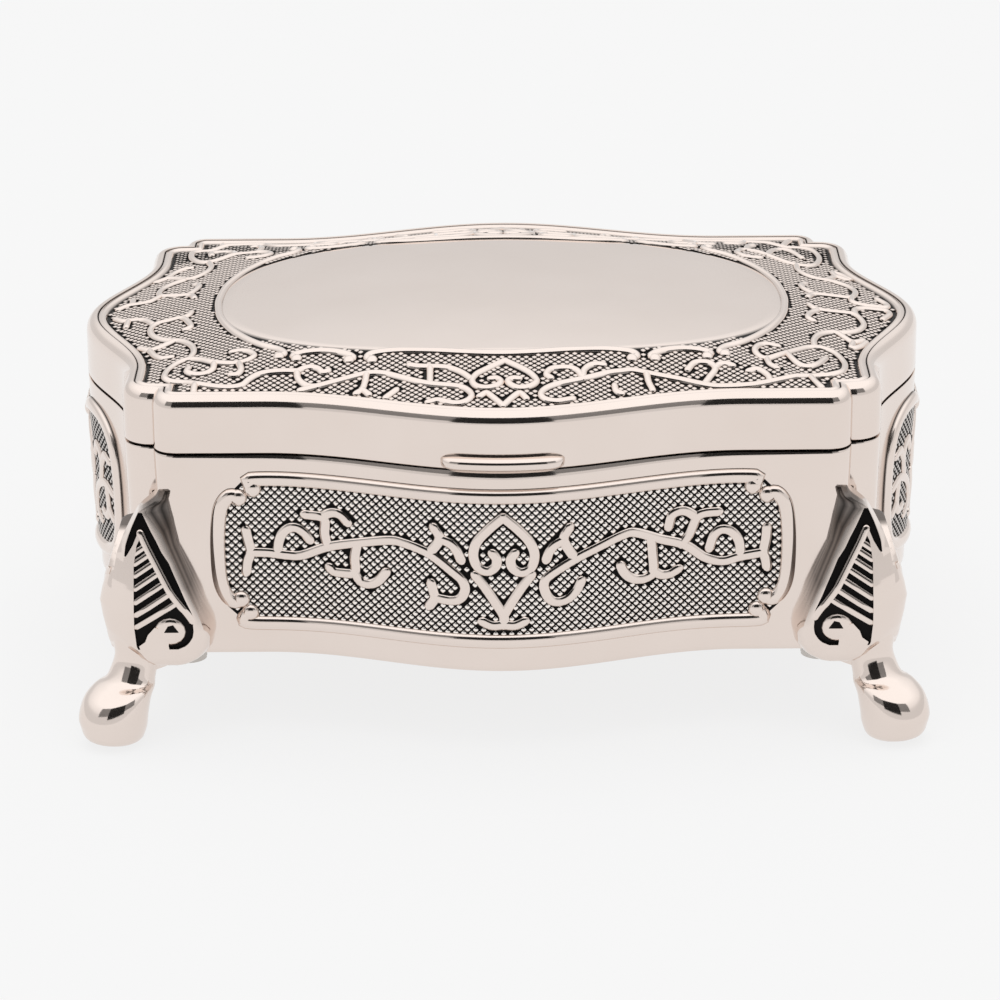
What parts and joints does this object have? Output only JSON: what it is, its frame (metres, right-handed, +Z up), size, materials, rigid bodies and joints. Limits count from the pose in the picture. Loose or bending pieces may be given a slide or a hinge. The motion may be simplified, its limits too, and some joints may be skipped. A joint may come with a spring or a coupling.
{
  "type": "trinket box",
  "caption": "Small footed metal trinket box with a serpentine outline, ornamented walls, a hinged domed lid with a plain oval and a velvet lined compartment.",
  "frame": {"origin": "on the surface the box stands on, under the middle of its bounding box", "axes": "+X to the right along the front, +Y towards the hinge at the back, +Z up"},
  "size_m": [0.1214, 0.0935, 0.053],
  "materials": {
    "silver_plate": "polished warm silver plate with black patina in the recesses",
    "hinge_metal": "satin, lightly tarnished",
    "velvet": "short pile velvet over card"
  },
  "bodies": {
    "base": {"base_body": "silver_plate", "leg_front_right": "silver_plate", "leg_front_left": "silver_plate", "leg_back_left": "silver_plate", "leg_back_right": "silver_plate", "leg_screws": "hinge_metal", "hinge_base_leaf": "hinge_metal", "hinge_screws_base": "hinge_metal", "hinge_pin": "hinge_metal", "base_lining_floor": "velvet", "base_lining_wall": "velvet"},
    "lid": {"lid_shell": "silver_plate", "hinge_lid_leaf": "hinge_metal", "hinge_screws_lid": "hinge_metal", "lid_lining_pad": "velvet"}
  },
  "joints": [
    {"name": "lid_hinge", "type": "hinge", "parent": "base", "child": "lid", "pos_m": [0, 0.04545, 0.04145], "axis": [-1, 0, 0], "range_deg": [0, 100]}
  ]
}
